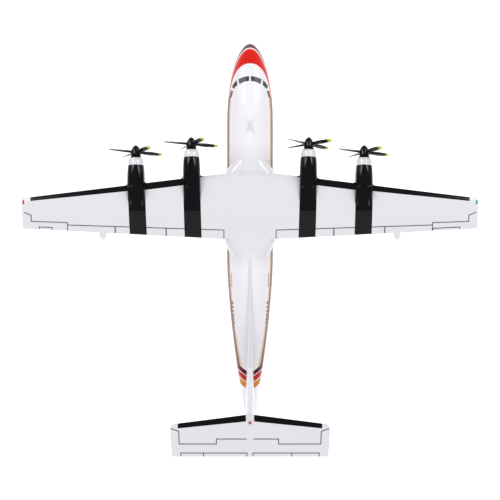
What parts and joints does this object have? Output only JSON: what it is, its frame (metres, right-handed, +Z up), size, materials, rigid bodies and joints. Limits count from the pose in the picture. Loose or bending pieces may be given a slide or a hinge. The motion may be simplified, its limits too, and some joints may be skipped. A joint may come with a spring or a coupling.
{
  "type": "propeller airliner display model",
  "caption": "Desk display model of a high-wing, T-tailed propeller airliner, gear up, with freely turning propellers and a belly socket for a stand post.",
  "frame": {"origin": "centre of the stand socket's mouth, under the belly", "axes": "+X towards the aircraft's left wing tip, +Y towards its tail, +Z up out of its back; the nose points along -Y"},
  "size_m": [0.4724, 0.428, 0.1143],
  "materials": {
    "white_lacquer": "white gloss lacquer over carved wood",
    "black_lacquer": "black gloss lacquer over carved wood",
    "propeller_black": "gloss black with yellow blade tips",
    "dowel_wood": "bare hardwood",
    "socket_brass": "turned brass",
    "screw_steel": "bright steel",
    "red_lens": "gloss red",
    "green_lens": "gloss green"
  },
  "bodies": {
    "airframe": {"axle_pin_1": "screw_steel", "axle_pin_2": "screw_steel", "axle_pin_3": "screw_steel", "axle_pin_4": "screw_steel", "beacon": "red_lens", "blade_antenna": "white_lacquer", "cowl_ring_1": "white_lacquer", "cowl_ring_2": "white_lacquer", "cowl_ring_3": "white_lacquer", "cowl_ring_4": "white_lacquer", "dorsal_fin": "white_lacquer", "fin": "white_lacquer", "fin_dowels": "dowel_wood", "flap_fairings": "white_lacquer", "fuselage": "white_lacquer", "nacelle_1": "black_lacquer", "nacelle_2": "black_lacquer", "nacelle_3": "black_lacquer", "nacelle_4": "black_lacquer", "nav_light_left": "red_lens", "nav_light_right": "green_lens", "saddle_dowels": "dowel_wood", "socket_screws": "screw_steel", "stand_socket": "socket_brass", "tail_boot_left": "black_lacquer", "tail_boot_right": "black_lacquer", "tailplane": "white_lacquer", "tailplane_dowel": "dowel_wood", "thrust_washers": "socket_brass", "wing_boots_left": "black_lacquer", "wing_boots_right": "black_lacquer", "wing_centre": "white_lacquer", "wing_dowels": "dowel_wood", "wing_panel_left": "white_lacquer", "wing_panel_right": "white_lacquer", "wing_root_fairing": "white_lacquer"},
    "propeller_1": {"hub_1": "propeller_black", "spinner_1": "propeller_black", "blades_1": "propeller_black"},
    "propeller_2": {"hub_2": "propeller_black", "spinner_2": "propeller_black", "blades_2": "propeller_black"},
    "propeller_3": {"hub_3": "propeller_black", "spinner_3": "propeller_black", "blades_3": "propeller_black"},
    "propeller_4": {"hub_4": "propeller_black", "spinner_4": "propeller_black", "blades_4": "propeller_black"}
  },
  "joints": [
    {"name": "propeller_1_spin", "type": "hinge", "parent": "airframe", "child": "propeller_1", "pos_m": [0.1196, -0.0625, 0.0555], "axis": [0.0209, -0.9963, -0.0837], "continuous": true},
    {"name": "propeller_2_spin", "type": "hinge", "parent": "airframe", "child": "propeller_2", "pos_m": [0.0618, -0.0715, 0.05146], "axis": [0.0209, -0.9963, -0.0837], "continuous": true},
    {"name": "propeller_3_spin", "type": "hinge", "parent": "airframe", "child": "propeller_3", "pos_m": [-0.0618, -0.0715, 0.05146], "axis": [-0.0209, -0.9963, -0.0837], "continuous": true},
    {"name": "propeller_4_spin", "type": "hinge", "parent": "airframe", "child": "propeller_4", "pos_m": [-0.1196, -0.0625, 0.0555], "axis": [-0.0209, -0.9963, -0.0837], "continuous": true}
  ]
}
